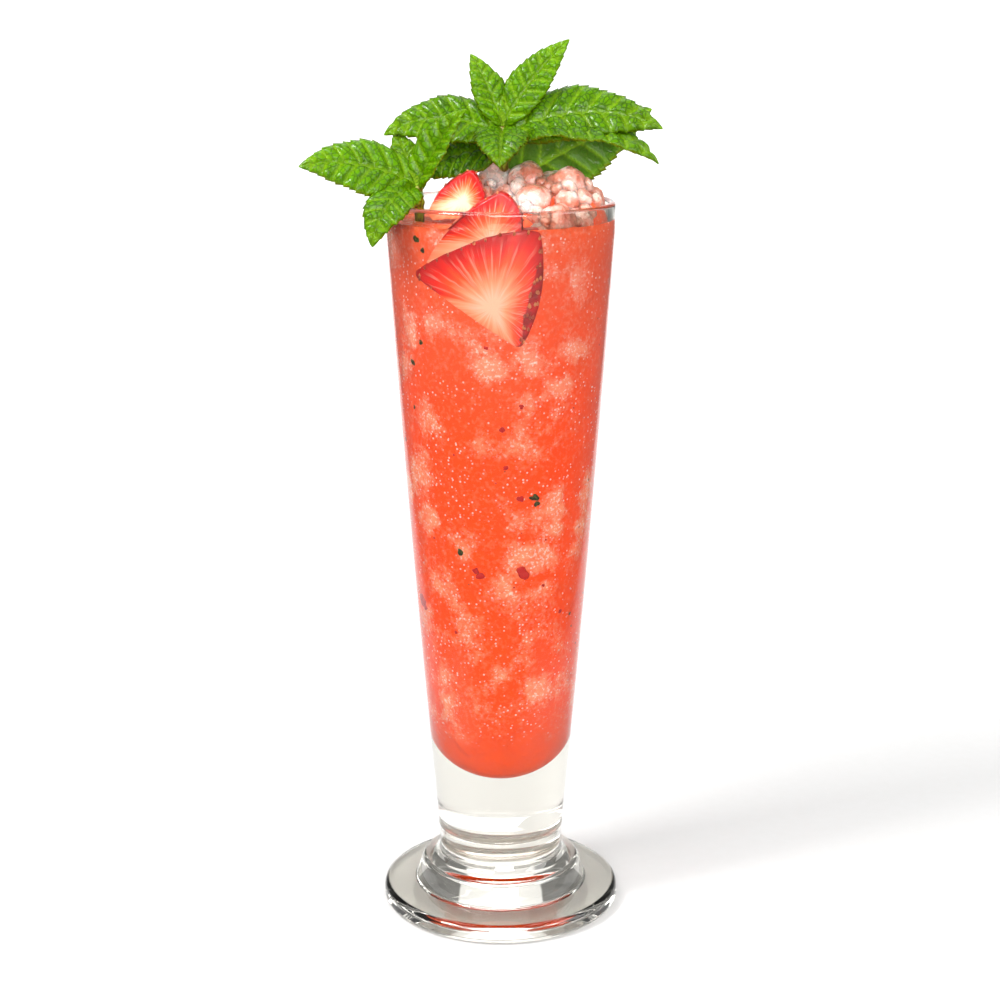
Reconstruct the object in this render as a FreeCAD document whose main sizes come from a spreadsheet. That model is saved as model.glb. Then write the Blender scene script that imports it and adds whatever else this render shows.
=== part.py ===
import FreeCAD, Part
import math
import os

import Sketcher
from FreeCAD import Placement, Rotation, Vector

# Strawberry mojito in a footed pilsner glass, in millimetres.
# The origin is the middle of the foot's underside, +Z runs up the glass axis and -Y is the front.

# ---------------------------------------------------------------------------------------------
# Driving dimensions
# ---------------------------------------------------------------------------------------------
SIZES = {
    # glass: foot
    "foot_radius": 38.6,
    "foot_edge_low": 2.0,
    "foot_edge_high": 3.6,
    "foot_round": 2.4,
    "neck_foot_rise": 0.7,
    "step_radius": 27.5,
    "step_height": 8.0,
    "step_round": 1.3,
    "shoulder_radius": 24.0,
    "shoulder_height": 14.6,
    "shoulder_round": 2.6,
    # glass: neck and bowl
    "neck_radius": 20.1,
    "neck_height": 25.5,
    "neck_flare": 2.2,
    "neck_flare_round": 5.0,
    "neck_bead": 0.35,
    "neck_bead_width": 1.2,
    "glass_height": 230.0,
    "rim_radius": 35.2,
    "rim_wall": 2.4,
    "band_height": 8.5,
    "wall_bow_radius": 9000.0,
    "bowl_floor": 45.2,
    "nose_radius": 16.0,
    "nose_angle": 62.0,
    "lower_bowl_radius": 20.9,
    "wall_angle": 85.3,
    # drink and crushed ice
    "drink_gap": 0.15,
    "fill_gap": 5.8,
    "ice_gap": 0.3,
    "ice_top": 11.5,
    # strawberry slices
    "slice_thickness": 5.0,
    "slice_gap": 0.3,
    "front_width": 36.5,
    "front_height": 35.0,
    "front_left": 24.4,
    "front_drop": 40.2,
    "middle_width": 27.4,
    "middle_height": 22.2,
    "middle_left": 21.3,
    "middle_drop": 17.0,
    "back_width": 17.5,
    "back_height": 14.5,
    "back_left": 21.7,
    "back_set_in": 25.0,
    "back_sink": 5.0,
    # mint
    "stem_radius": 1.4,
    "bud_radius": 1.9,
    "leaf_thickness": 0.9,
    "leaf_edge": 0.35,
    "leaf_stalk": 1.6,
    "right_top": 22.7,
    "right_sunk": 38.0,
    "right_lean": 18.0,
    "left_top": 5.5,
    "left_sunk": 34.0,
    "left_set_in": 6.65,
    "left_angle": 17.8,
    "left_lean": 12.0,
}

doc = FreeCAD.newDocument("StrawberryMojito")
dims = doc.addObject("Spreadsheet::Sheet", "dims")
for row, (alias, value) in enumerate(SIZES.items(), start=1):
    dims.set(f"A{row}", alias)
    dims.set(f"B{row}", str(value))
    dims.setAlias(f"B{row}", alias)
doc.recompute()


def measure(expression):
    """Value in millimetres, or degrees, of an expression on the sheet's cells."""
    return float(dims.evalExpression(str(expression)))


# Expressions that several pieces share.
BAND_FOOT = "(dims.glass_height - dims.band_height)"
RIM_INSIDE = "(dims.rim_radius - dims.rim_wall)"
LIP_FOOT = "(dims.glass_height - dims.rim_wall / 2)"
DRINK_LEVEL = "(dims.glass_height - dims.fill_gap)"
NOSE_CENTRE = "(dims.bowl_floor + dims.nose_radius)"
SIDE_ROUND = (
    "((dims.lower_bowl_radius - dims.nose_radius * sin(dims.nose_angle))"
    " / (sin(dims.wall_angle) - sin(dims.nose_angle)))"
)
SIDE_CENTRE_OUT = f"((dims.nose_radius - {SIDE_ROUND}) * sin(dims.nose_angle))"
SIDE_CENTRE_UP = f"({NOSE_CENTRE} + ({SIDE_ROUND} - dims.nose_radius) * cos(dims.nose_angle))"
LOWER_BOWL = f"({SIDE_CENTRE_UP} - {SIDE_ROUND} * cos(dims.wall_angle))"


def bowl_radius(height):
    """Expression for the inside radius of the bowl's straight wall at a height."""
    return (
        f"(dims.lower_bowl_radius + ({height} - {LOWER_BOWL})"
        f" * ({RIM_INSIDE} - dims.lower_bowl_radius) / ({BAND_FOOT} - {LOWER_BOWL}))"
    )


# ---------------------------------------------------------------------------------------------
# Sketched bodies
# ---------------------------------------------------------------------------------------------
def corner(across, up, radius=None, centre="left"):
    """A corner of an outline, with the radius of the arc that leaves it, if it isn't a straight line.

    centre says on which side of the way along the outline the arc's centre lies.
    """
    return {"across": str(across), "up": str(up), "radius": radius, "centre": centre}


def arc_between(start, end, radius, centre):
    """The short arc from start to end, and whether it runs anticlockwise."""
    chord = end - start
    half = chord.Length / 2
    radius = max(radius, half)
    normal = Vector(-chord.y, chord.x, 0).normalize()
    side = 1 if centre == "left" else -1
    middle = start + chord * 0.5 + normal * side * math.sqrt(radius**2 - half**2)
    circle = Part.Circle(middle, Vector(0, 0, 1), radius)
    from_angle = math.atan2(start.y - middle.y, start.x - middle.x)
    to_angle = math.atan2(end.y - middle.y, end.x - middle.x)
    if side == 1:
        return Part.ArcOfCircle(circle, from_angle, to_angle), True
    return Part.ArcOfCircle(circle, to_angle, from_angle), False


def draw_outline(sketch, corners):
    """Closed outline whose corners and arc radii are bound to the sheet."""
    points = [Vector(measure(c["across"]), measure(c["up"]), 0) for c in corners]
    ends = []
    for index, this in enumerate(corners):
        start = points[index]
        end = points[(index + 1) % len(points)]
        if this["radius"] is None:
            edge = sketch.addGeometry(Part.LineSegment(start, end))
            ends.append((edge, 1, 2))
            continue
        arc, anticlockwise = arc_between(start, end, measure(this["radius"]), this["centre"])
        edge = sketch.addGeometry(arc)
        ends.append((edge, 1, 2) if anticlockwise else (edge, 2, 1))
    for index, (edge, start, _) in enumerate(ends):
        before, _, before_end = ends[index - 1]
        sketch.addConstraint(Sketcher.Constraint("Coincident", before, before_end, edge, start))
    for index, (edge, start, _) in enumerate(ends):
        this = corners[index]
        bind_distance(sketch, "DistanceX", edge, start, this["across"], -2)
        bind_distance(sketch, "DistanceY", edge, start, this["up"], -1)
        if this["radius"] is not None:
            arc_radius = Sketcher.Constraint("Radius", edge, measure(this["radius"]))
            number = sketch.addConstraint(arc_radius)
            sketch.setExpression(f"Constraints[{number}]", this["radius"])


def bind_distance(sketch, kind, edge, end, expression, axis):
    """Hold one end of an edge at a bound distance from the origin, or on the axis where that is 0."""
    if expression == "0":
        sketch.addConstraint(Sketcher.Constraint("PointOnObject", edge, end, axis))
        return
    value = measure(expression)
    number = sketch.addConstraint(Sketcher.Constraint(kind, -1, 1, edge, end, value))
    sketch.setExpression(f"Constraints[{number}]", expression)


def upright_sketch(body, name, corners):
    """Sketch on the body's own XZ plane."""
    plane = next(f for f in body.Origin.OriginFeatures if f.Role == "XZ_Plane")
    sketch = body.newObject("Sketcher::SketchObject", name)
    sketch.AttachmentSupport = [(plane, "")]
    sketch.MapMode = "FlatFace"
    draw_outline(sketch, corners)
    return sketch


def turned_body(name, corners):
    """Body turned about the glass axis from an outline of radius and height."""
    body = doc.addObject("PartDesign::Body", name)
    sketch = upright_sketch(body, name + "_outline", corners)
    turning = body.newObject("PartDesign::Revolution", name + "_turning")
    turning.Profile = sketch
    turning.ReferenceAxis = (sketch, ["V_Axis"])
    turning.Angle = 360.0
    body.Tip = turning
    return body


def slab_body(name, corners, depth):
    """Upright slab, as thick as depth and centred on its own XZ plane."""
    body = doc.addObject("PartDesign::Body", name)
    sketch = upright_sketch(body, name + "_outline", corners)
    pad = body.newObject("PartDesign::Pad", name + "_pad")
    pad.Profile = sketch
    pad.Midplane = True
    pad.setExpression("Length", depth)
    body.Tip = pad
    return body


def combine(kind, name, base, *tools):
    """Part boolean of a base and one or more tools."""
    tool = tools[0]
    if len(tools) > 1:
        tool = doc.addObject("Part::MultiFuse", name + "_tools")
        tool.Shapes = list(tools)
    result = doc.addObject(kind, name)
    result.Base = base
    result.Tool = tool
    return result


# ---------------------------------------------------------------------------------------------
# Glass
# ---------------------------------------------------------------------------------------------
def bowl_corners(gap):
    """Inside of the bowl, shrunk by a gap, from the floor on the axis up to the rim's band."""
    nose = f"(dims.nose_radius - {gap})"
    side = f"({SIDE_ROUND} - {gap})"
    return [
        corner("0", f"{NOSE_CENTRE} - {nose}", nose),
        corner(
            f"{nose} * sin(dims.nose_angle)",
            f"{NOSE_CENTRE} - {nose} * cos(dims.nose_angle)",
            side,
        ),
        corner(
            f"{SIDE_CENTRE_OUT} + {side} * sin(dims.wall_angle)",
            f"{SIDE_CENTRE_UP} - {side} * cos(dims.wall_angle)",
        ),
        corner(f"{RIM_INSIDE} - {gap}", BAND_FOOT),
    ]


def make_glass():
    """Pressed glass: domed foot, stepped ring, solid neck and a thin tall bowl with a fire-rounded lip."""
    edge_inside = "dims.foot_radius - dims.foot_round"
    outside = [
        corner("0", "0"),
        corner("dims.foot_radius - dims.foot_edge_low", "0", "dims.foot_edge_low"),
        corner("dims.foot_radius", "dims.foot_edge_low"),
        corner("dims.foot_radius", "dims.foot_edge_high", "dims.foot_round"),
        corner(edge_inside, "dims.foot_edge_high + dims.foot_round"),
        corner(
            "dims.step_radius + dims.step_round",
            "dims.step_height - dims.step_round",
            "dims.step_round",
            "right",
        ),
        corner("dims.step_radius", "dims.step_height"),
        corner(
            "dims.shoulder_radius + dims.shoulder_round * 0.8",
            "dims.shoulder_height - dims.shoulder_round * 0.7",
            "dims.shoulder_round",
        ),
        corner("dims.shoulder_radius", "dims.shoulder_height"),
        corner(
            "dims.neck_radius + dims.neck_flare",
            "dims.shoulder_height + dims.neck_foot_rise",
            "dims.neck_flare_round",
            "right",
        ),
        corner("dims.neck_radius", "dims.neck_height - dims.neck_bead_width"),
        corner("dims.neck_radius", "dims.neck_height"),
        corner(
            "dims.neck_radius + dims.neck_bead",
            "dims.neck_height + dims.neck_bead_width * 0.4",
            "dims.neck_bead_width",
        ),
        corner(
            "dims.neck_radius + dims.neck_bead * 0.7",
            "dims.neck_height + dims.neck_bead_width",
            "dims.wall_bow_radius",
        ),
        corner("dims.rim_radius", BAND_FOOT),
        corner("dims.rim_radius", LIP_FOOT, "dims.rim_wall / 2"),
        corner("dims.rim_radius - dims.rim_wall / 2", "dims.glass_height", "dims.rim_wall / 2"),
        corner(RIM_INSIDE, LIP_FOOT),
    ]
    inside = list(reversed(bowl_corners("0 * dims.rim_wall")))
    # Each arc's radius belongs to the corner that it leaves, so it moves along when the way is reversed.
    radii = [c["radius"] for c in inside]
    for index, this in enumerate(inside):
        this["radius"] = radii[index + 1] if index + 1 < len(radii) else None
        this["centre"] = "right"
    return turned_body("glass", outside + inside)


# ---------------------------------------------------------------------------------------------
# What fills the glass
# ---------------------------------------------------------------------------------------------
def make_drink_filling():
    """The drink as it would be with nothing sunk in it, up to its level."""
    edge = corner(f"{RIM_INSIDE} - dims.drink_gap", DRINK_LEVEL)
    middle = corner("0", DRINK_LEVEL)
    return turned_body("drink_filling", bowl_corners("dims.drink_gap") + [edge, middle])


def make_mouth_space(name, gap, top):
    """The room inside the wall, less a gap, from well below the drink's level up to a height."""
    deep = f"({DRINK_LEVEL} - 80)"
    return turned_body(name, [
        corner("0", deep),
        corner(f"{bowl_radius(deep)} - {gap}", deep),
        corner(f"{RIM_INSIDE} - {gap}", BAND_FOOT),
        corner(f"{RIM_INSIDE} - {gap}", top),
        corner("0", top),
    ])


# Lumps that stand out of the ice: place across and towards the back, radius and rise above the rim.
ICE_LUMPS = [
    (-2.0, 4.0, 7.0, 9.0),
    (8.0, 0.0, 7.5, 10.5),
    (20.5, -5.0, 6.8, 9.5),
    (27.0, -3.0, 5.5, 3.0),
    (10.0, -14.0, 7.5, 5.0),
    (16.0, -23.0, 7.0, -0.5),
    (-8.0, 16.0, 8.0, 3.0),
    (6.0, 21.0, 8.0, 1.5),
    (20.0, 17.0, 8.0, 1.5),
    (17.0, 4.0, 6.5, 7.5),
]


def ice_height(across, back):
    """Height of the ice's uneven top: the highest of its rounded lumps, blended where they meet."""
    rim = measure("dims.glass_height")
    tallest = max(lump[3] for lump in ICE_LUMPS)
    lift = measure("dims.ice_top") - tallest
    hollow = -14.0
    blend = 0.0
    for lump_across, lump_back, radius, rise in ICE_LUMPS:
        away = math.hypot(across - lump_across, back - lump_back) / radius
        bump = rise + lift - 5.0 * away**2
        blend += math.exp(max(bump, hollow) / 1.6)
    return rim + max(1.6 * math.log(blend), hollow)


def make_crushed_ice(mouth, *sunk):
    """Heap of crushed ice: one lumpy solid that stands on the drink and leans on the wall."""
    reach = math.ceil(measure(RIM_INSIDE)) + 2
    steps = 24
    stations = [reach * (2 * step / steps - 1) for step in range(steps + 1)]
    grid = [[Vector(x, y, ice_height(x, y)) for y in stations] for x in stations]
    surface = Part.BSplineSurface()
    surface.interpolate(grid)
    depth = measure("dims.ice_top + dims.fill_gap") + 60
    dome = doc.addObject("Part::Feature", "ice_dome")
    dome.Shape = surface.toShape().extrude(Vector(0, 0, -depth))
    above = doc.addObject("Part::Cylinder", "above_the_drink")
    above.Angle = 360
    above.setExpression("Radius", "dims.rim_radius")
    above.setExpression("Height", "dims.fill_gap + dims.ice_top + 10")
    above.setExpression("Placement.Base.z", DRINK_LEVEL)
    over = combine("Part::Common", "mouth_above_the_drink", mouth, above)
    heap = combine("Part::Common", "ice_heap", dome, over)
    return combine("Part::Cut", "crushed_ice", heap, *sunk)


# ---------------------------------------------------------------------------------------------
# Strawberry slices
# ---------------------------------------------------------------------------------------------
def make_wall_shell():
    """A curved layer as thick as a slice, a gap inside the wall and straight up past the rim."""
    deep = f"({DRINK_LEVEL} - 60)"
    top = "dims.glass_height + dims.middle_height"
    outer = "dims.slice_gap"
    inner = "(dims.slice_gap + dims.slice_thickness)"
    return turned_body("wall_shell", [
        corner(f"{bowl_radius(deep)} - {inner}", deep),
        corner(f"{bowl_radius(deep)} - {outer}", deep),
        corner(f"{RIM_INSIDE} - {outer}", BAND_FOOT),
        corner(f"{RIM_INSIDE} - {outer}", top),
        corner(f"{RIM_INSIDE} - {inner}", top),
        corner(f"{RIM_INSIDE} - {inner}", BAND_FOOT),
    ])


def wall_slab(name, outline, left, drop):
    """Slab that crosses the front wall, with its lower left corner at a place left of and below the rim."""
    slab = slab_body(name, outline, "dims.rim_radius")
    slab.setExpression("Placement.Base.x", f"-{left}")
    slab.setExpression("Placement.Base.y", "-dims.rim_radius * 0.8")
    slab.setExpression("Placement.Base.z", f"dims.glass_height - {drop}")
    return slab


def make_front_slice(shell):
    """Quarter of a berry, bent against the inside of the wall: skin on top and right, one straight cut."""
    outline = [
        corner("dims.front_width * 0.02", "dims.front_height * 0.56"),
        corner("dims.front_width * 0.76", "dims.front_height * 0.03", "dims.front_width * 0.06"),
        corner("dims.front_width * 0.85", "dims.front_height * 0.05", "dims.front_height * 1.3"),
        corner("dims.front_width", "dims.front_height * 0.66", "dims.front_height * 1.6"),
        corner("dims.front_width * 0.98", "dims.front_height * 0.95", "dims.front_width * 0.08"),
        corner("dims.front_width * 0.92", "dims.front_height", "dims.front_width * 1.15"),
        corner("dims.front_width * 0.33", "dims.front_height * 0.84", "dims.front_width * 0.9"),
        corner("dims.front_width * 0.01", "dims.front_height * 0.62", "dims.front_width * 0.05"),
    ]
    slab = wall_slab("front_slab", outline, "dims.front_left", "dims.front_drop")
    return combine("Part::Common", "strawberry_slice_front", slab, shell), slab


def make_middle_slice(shell, front_slab):
    """Slice standing on the front one's upper edge, bent against the wall, its point above the rim."""
    outline = [
        corner("0", "dims.middle_height * 0.07"),
        corner("dims.middle_width * 0.05", "0"),
        corner("dims.middle_width", "0"),
        corner("dims.middle_width", "dims.middle_height * 0.62", "dims.middle_height * 0.5"),
        corner("dims.middle_width * 0.86", "dims.middle_height * 0.955", "dims.middle_width * 0.11"),
        corner("dims.middle_width * 0.76", "dims.middle_height", "dims.middle_width * 1.6"),
    ]
    slab = wall_slab("middle_slab", outline, "dims.middle_left", "dims.middle_drop")
    layer = combine("Part::Common", "middle_layer", slab, shell)
    return combine("Part::Cut", "strawberry_slice_middle", layer, front_slab)


def place(body, across, back, up, turn, lean):
    """Lean a piece forward, turn it about the upright and move it there, its place bound to the sheet."""
    spin = Rotation(Vector(0, 0, 1), turn) * Rotation(Vector(1, 0, 0), lean)
    body.Placement = Placement(Vector(measure(across), measure(back), measure(up)), spin)
    body.setExpression("Placement.Base.x", across)
    body.setExpression("Placement.Base.y", back)
    body.setExpression("Placement.Base.z", up)


def half_berry(wide, high):
    """Long cut of half a berry with its point up: a rounded point, bowed skin and a straight foot."""
    return [
        corner("0", f"{high} * 0.12"),
        corner(f"{wide} * 0.1", "0"),
        corner(f"{wide} * 0.92", f"{high} * 0.06", f"{wide} * 0.12"),
        corner(wide, f"{high} * 0.2", f"{high} * 1.3"),
        corner(f"{wide} * 0.82", f"{high} * 0.95", f"{wide} * 0.09"),
        corner(f"{wide} * 0.7", high, f"{wide} * 1.2"),
        corner(f"{wide} * 0.02", f"{high} * 0.2", f"{wide} * 0.05"),
    ]


def make_back_slice(core):
    """Smaller half slice behind the middle one, with its point higher above the rim."""
    slab = slab_body("back_slab", half_berry("dims.back_width", "dims.back_height"), "dims.slice_thickness")
    place(
        slab,
        "-dims.back_left",
        f"-({RIM_INSIDE} - dims.back_set_in)",
        "dims.glass_height - dims.back_sink",
        -6,
        2,
    )
    return combine("Part::Common", "strawberry_slice_back", slab, core)


# ---------------------------------------------------------------------------------------------
# Mint
# ---------------------------------------------------------------------------------------------
def leaf(down_stem, length, width, heading, rise, bend, roll, fold=12):
    """One leaf: where it leaves the stem, its size and the way it grows, in millimetres and degrees.

    heading is the compass way seen from above (0 is right, 90 is back), rise the slope at the stem,
    bend how far it droops by its tip, roll the turn about its midrib and fold the lift of its halves.
    """
    return {
        "down_stem": down_stem,
        "length": length,
        "width": width,
        "heading": math.radians(heading),
        "rise": math.radians(rise),
        "bend": math.radians(bend),
        "roll": math.radians(roll),
        "fold": math.radians(fold),
    }


RIGHT_LEAVES = [
    leaf(0.5, 24, 12, 152, 70, 15, -38),
    leaf(0.5, 33, 13, 13, 62, 22, 60),
    leaf(2.0, 22, 17, -93, 4, 60, 0),
    leaf(3.5, 50, 21, -8, 29, 52, 48),
    leaf(3.5, 38, 17, 176, 30, 60, -54),
    leaf(6.0, 51, 20, -15, 27, 66, 14),
    leaf(20.0, 52, 25, 12, 31, 10, -80, 4),
    leaf(8.5, 29, 20, 172, 8, 52, -46),
]

LEFT_LEAVES = [
    leaf(0.5, 37, 19, -170, 31, 42, -56, 6),
    leaf(1.5, 29, 14, -22, 69, 25, 72, 35),
    leaf(2.0, 29, 16, -126, 8, 84, -16),
    leaf(3.0, 22, 11, 128, 66, 20, -32),
]


def leaf_frame(blade, base, share):
    """Midrib point, and the ways along, across and out of the blade, at a share of the leaf's length.

    The midrib is an arc of a circle: its slope falls evenly from rise to rise - bend.
    """
    ahead = Vector(math.cos(blade["heading"]), math.sin(blade["heading"]), 0)
    above = Vector(0, 0, 1)
    slope = blade["rise"] - blade["bend"] * share
    turn_radius = blade["length"] / blade["bend"]
    point = base + ahead * turn_radius * (math.sin(blade["rise"]) - math.sin(slope))
    point = point + above * turn_radius * (math.cos(slope) - math.cos(blade["rise"]))
    along = ahead * math.cos(slope) + above * math.sin(slope)
    out = above * math.cos(slope) - ahead * math.sin(slope)
    side = along.cross(out)
    face = out * math.cos(blade["roll"]) + side * math.sin(blade["roll"])
    return point, along, along.cross(face), face


def half_width(blade, share):
    """Half the leaf's width: a stalk, then an egg shape widest two fifths of the way along."""
    stalk = measure("dims.leaf_stalk") / 2
    swell = math.sin(math.pi * share**0.75) ** 0.85 if 0 < share < 1 else 0
    taper = stalk * (1 - share) + 0.25
    return max(blade["width"] / 2 * swell, taper)


def leaf_section(blade, base, share):
    """Closed outline of the leaf across its midrib: folded up at both sides, thickest at the midrib."""
    point, _, across, face = leaf_frame(blade, base, share)
    half = half_width(blade, share)
    thick = measure("dims.leaf_thickness") / 2
    edge = measure("dims.leaf_edge") / 2
    upper = []
    lower = []
    for part in (-1, -0.5, 0, 0.5, 1):
        lift = abs(part) * half * math.sin(blade["fold"])
        reach = part * half * math.cos(blade["fold"])
        middle = point + across * reach + face * lift
        depth = edge + (thick - edge) * (1 - abs(part))
        upper.append(middle + face * depth)
        lower.append(middle - face * depth)
    edges = []
    for curve_points in (upper, lower):
        curve = Part.BSplineCurve()
        curve.interpolate(curve_points)
        edges.append(curve.toShape())
    edges.append(Part.makeLine(upper[0], lower[0]))
    edges.append(Part.makeLine(upper[-1], lower[-1]))
    return Part.Wire(Part.__sortEdges__(edges))


def make_leaf(name, blade, base):
    """Solid leaf blade with its stalk, lofted through sections across the midrib."""
    shares = (0, 0.06, 0.16, 0.3, 0.45, 0.6, 0.75, 0.88, 0.96, 1)
    sections = [leaf_section(blade, base, share) for share in shares]
    piece = doc.addObject("Part::Feature", name)
    piece.Shape = Part.makeLoft(sections, True, False)
    return piece


def make_sprig(name, top, foot, leaves):
    """Mint sprig as one solid: a straight stem, the bud at its top and the leaves that grow from it."""
    start = Vector(*[measure(expression) for expression in foot])
    end = Vector(*[measure(expression) for expression in top])
    up_stem = end - start
    stem = doc.addObject("Part::Cylinder", name + "_stem")
    stem.Angle = 360
    stem.setExpression("Radius", "dims.stem_radius")
    stem.Height = up_stem.Length
    stem.Placement = Placement(start, Rotation(Vector(0, 0, 1), up_stem))
    bud = doc.addObject("Part::Sphere", name + "_bud")
    bud.setExpression("Radius", "dims.bud_radius")
    bud.Placement = Placement(end, Rotation())
    down = (start - end).normalize()
    blades = []
    for number, blade in enumerate(leaves, start=1):
        base = end + down * blade["down_stem"]
        blades.append(make_leaf(f"{name}_leaf_{number}", blade, base))
    sprig = doc.addObject("Part::MultiFuse", name)
    sprig.Shapes = [stem, bud] + blades
    sprig.Refine = False
    return sprig, stem


# ---------------------------------------------------------------------------------------------
# Assembly and files
# ---------------------------------------------------------------------------------------------
glass = make_glass()
mouth = make_mouth_space("mouth_space", "dims.ice_gap", "dims.glass_height + dims.ice_top + 15")
core = make_mouth_space(
    "room_behind_the_front_slices",
    "(dims.slice_gap * 2 + dims.slice_thickness)",
    "dims.glass_height + 25",
)
shell = make_wall_shell()
front_slice, front_slab = make_front_slice(shell)
middle_slice = make_middle_slice(shell, front_slab)
back_slice = make_back_slice(core)
right_sprig, right_stem = make_sprig(
    "mint_sprig_right",
    ("0.6", "-2", "dims.glass_height + dims.right_top"),
    ("2", "dims.right_lean", "dims.glass_height - dims.right_sunk"),
    RIGHT_LEAVES,
)
left_reach = f"({RIM_INSIDE} - dims.left_set_in)"
left_across = f"-{left_reach} * cos(dims.left_angle)"
left_back = f"-{left_reach} * sin(dims.left_angle)"
left_sprig, left_stem = make_sprig(
    "mint_sprig_left",
    (left_across, left_back, "dims.glass_height + dims.left_top"),
    (f"{left_across} + 1.5", f"{left_back} + dims.left_lean", "dims.glass_height - dims.left_sunk"),
    LEFT_LEAVES,
)
slices = (front_slice, middle_slice, back_slice)
crushed_ice = make_crushed_ice(mouth, *slices, right_sprig, left_stem)
drink = combine("Part::Cut", "drink", make_drink_filling(), *slices, right_stem, left_stem)
doc.recompute()

for item in doc.Objects:
    if "Invalid" in item.State or "Error" in item.State:
        raise RuntimeError(f"{item.Name} failed: {item.State}")

SUB_PARTS = {
    "glass": glass,
    "drink": drink,
    "crushed_ice": crushed_ice,
    "strawberry_slice_front": front_slice,
    "strawberry_slice_middle": middle_slice,
    "strawberry_slice_back": back_slice,
    "mint_sprig_left": left_sprig,
    "mint_sprig_right": right_sprig,
}

os.makedirs("parts", exist_ok=True)
for label, item in SUB_PARTS.items():
    item.Label = label
    shape = item.Shape
    if shape.isNull() or not shape.isValid() or len(shape.Solids) != 1:
        raise RuntimeError(f"{label} is not one valid solid: {len(shape.Solids)} solids")
for label, item in SUB_PARTS.items():
    item.Shape.exportStep(f"parts/{label}.step")
    print(f"{label}: {item.Shape.Volume / 1000:.1f} cm3")
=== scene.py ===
"""Strawberry mojito in a footed pilsner glass, with crushed ice, berry slices and mint."""
import functools
import math

import bmesh
import bpy
import numpy as np
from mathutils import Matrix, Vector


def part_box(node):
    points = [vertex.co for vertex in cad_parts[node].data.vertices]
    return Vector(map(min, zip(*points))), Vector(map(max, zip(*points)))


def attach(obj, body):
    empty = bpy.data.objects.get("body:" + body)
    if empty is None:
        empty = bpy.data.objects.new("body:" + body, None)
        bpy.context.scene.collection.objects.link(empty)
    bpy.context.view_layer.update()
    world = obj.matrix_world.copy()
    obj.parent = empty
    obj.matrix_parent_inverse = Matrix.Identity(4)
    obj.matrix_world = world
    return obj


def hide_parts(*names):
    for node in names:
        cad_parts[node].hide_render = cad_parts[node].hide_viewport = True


bl_info = {
    "name": "Strawberry mojito",
    "version": (1, 0, 0),
    "blender": (4, 5, 0),
    "location": "View3D > Sidebar > Mojito",
    "description": "Makes a strawberry mojito in a footed pilsner glass around its packed frame",
    "category": "Object",
}

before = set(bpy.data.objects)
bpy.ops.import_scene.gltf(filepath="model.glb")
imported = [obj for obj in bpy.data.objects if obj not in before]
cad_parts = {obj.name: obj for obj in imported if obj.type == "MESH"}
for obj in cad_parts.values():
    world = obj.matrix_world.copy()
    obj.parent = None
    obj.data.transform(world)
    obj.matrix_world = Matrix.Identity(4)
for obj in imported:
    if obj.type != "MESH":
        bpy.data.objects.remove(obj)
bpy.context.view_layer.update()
GLASS_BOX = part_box("glass")
DRINK_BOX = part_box("drink")
RIM = GLASS_BOX[1][2]
DRINK_LEVEL = DRINK_BOX[1][2]
MM = 0.001
SPAN = 4.0  # longest run between two points of a profile, in millimetres


# ---- Colours and shader nodes ----
def linear(code):
    """Linear RGBA of an sRGB hex colour."""
    parts = [int(code[i:i + 2], 16) / 255 for i in (1, 3, 5)]
    return tuple(c / 12.92 if c <= 0.04045 else ((c + 0.055) / 1.055) ** 2.4 for c in parts) + (1.0,)


def per(size_mm):
    """Pattern scale that repeats once in this many millimetres, for coordinates in metres."""
    return 1000.0 / size_mm


RGBA = {"data_type": "RGBA"}
SMOOTH = {"interpolation_type": "SMOOTHSTEP"}
TIMES = {"operation": "MULTIPLY"}
TIMES_PLUS = {"operation": "MULTIPLY_ADD"}


def add_node(tree, kind, *inputs, output=None, stops=(), **settings):
    """Add one shader node and give an output, its first unless named.

    An input is a value or link for the next of the node's sockets, or a dictionary of them by name. Stops
    are a ramp's places and colours.
    """
    node = tree.nodes.new("ShaderNode" + kind)
    for name, value in settings.items():
        setattr(node, name, value)
    if stops:
        points = node.color_ramp.elements
        while len(points) < len(stops):
            points.new(0.5)
        for point, (place, colour) in zip(points, stops):
            point.position = place
            point.color = colour
    free = iter([socket for socket in node.inputs if socket.enabled])
    pairs = []
    for value in inputs:
        by_name = value if isinstance(value, dict) else {}
        pairs += [(node.inputs[name], item) for name, item in by_name.items()] or [(next(free), value)]
    for socket, value in pairs:
        if isinstance(value, bpy.types.NodeSocket):
            tree.links.new(value, socket)
        else:
            socket.default_value = value
    return node.outputs[output] if output else next((item for item in node.outputs if item.enabled), None)


def new_material(name):
    """Empty node material, and the function that adds a node to it."""
    material = bpy.data.materials.new(name)
    material.use_nodes = True
    material.node_tree.nodes.clear()
    return material, functools.partial(add_node, material.node_tree)


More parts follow.
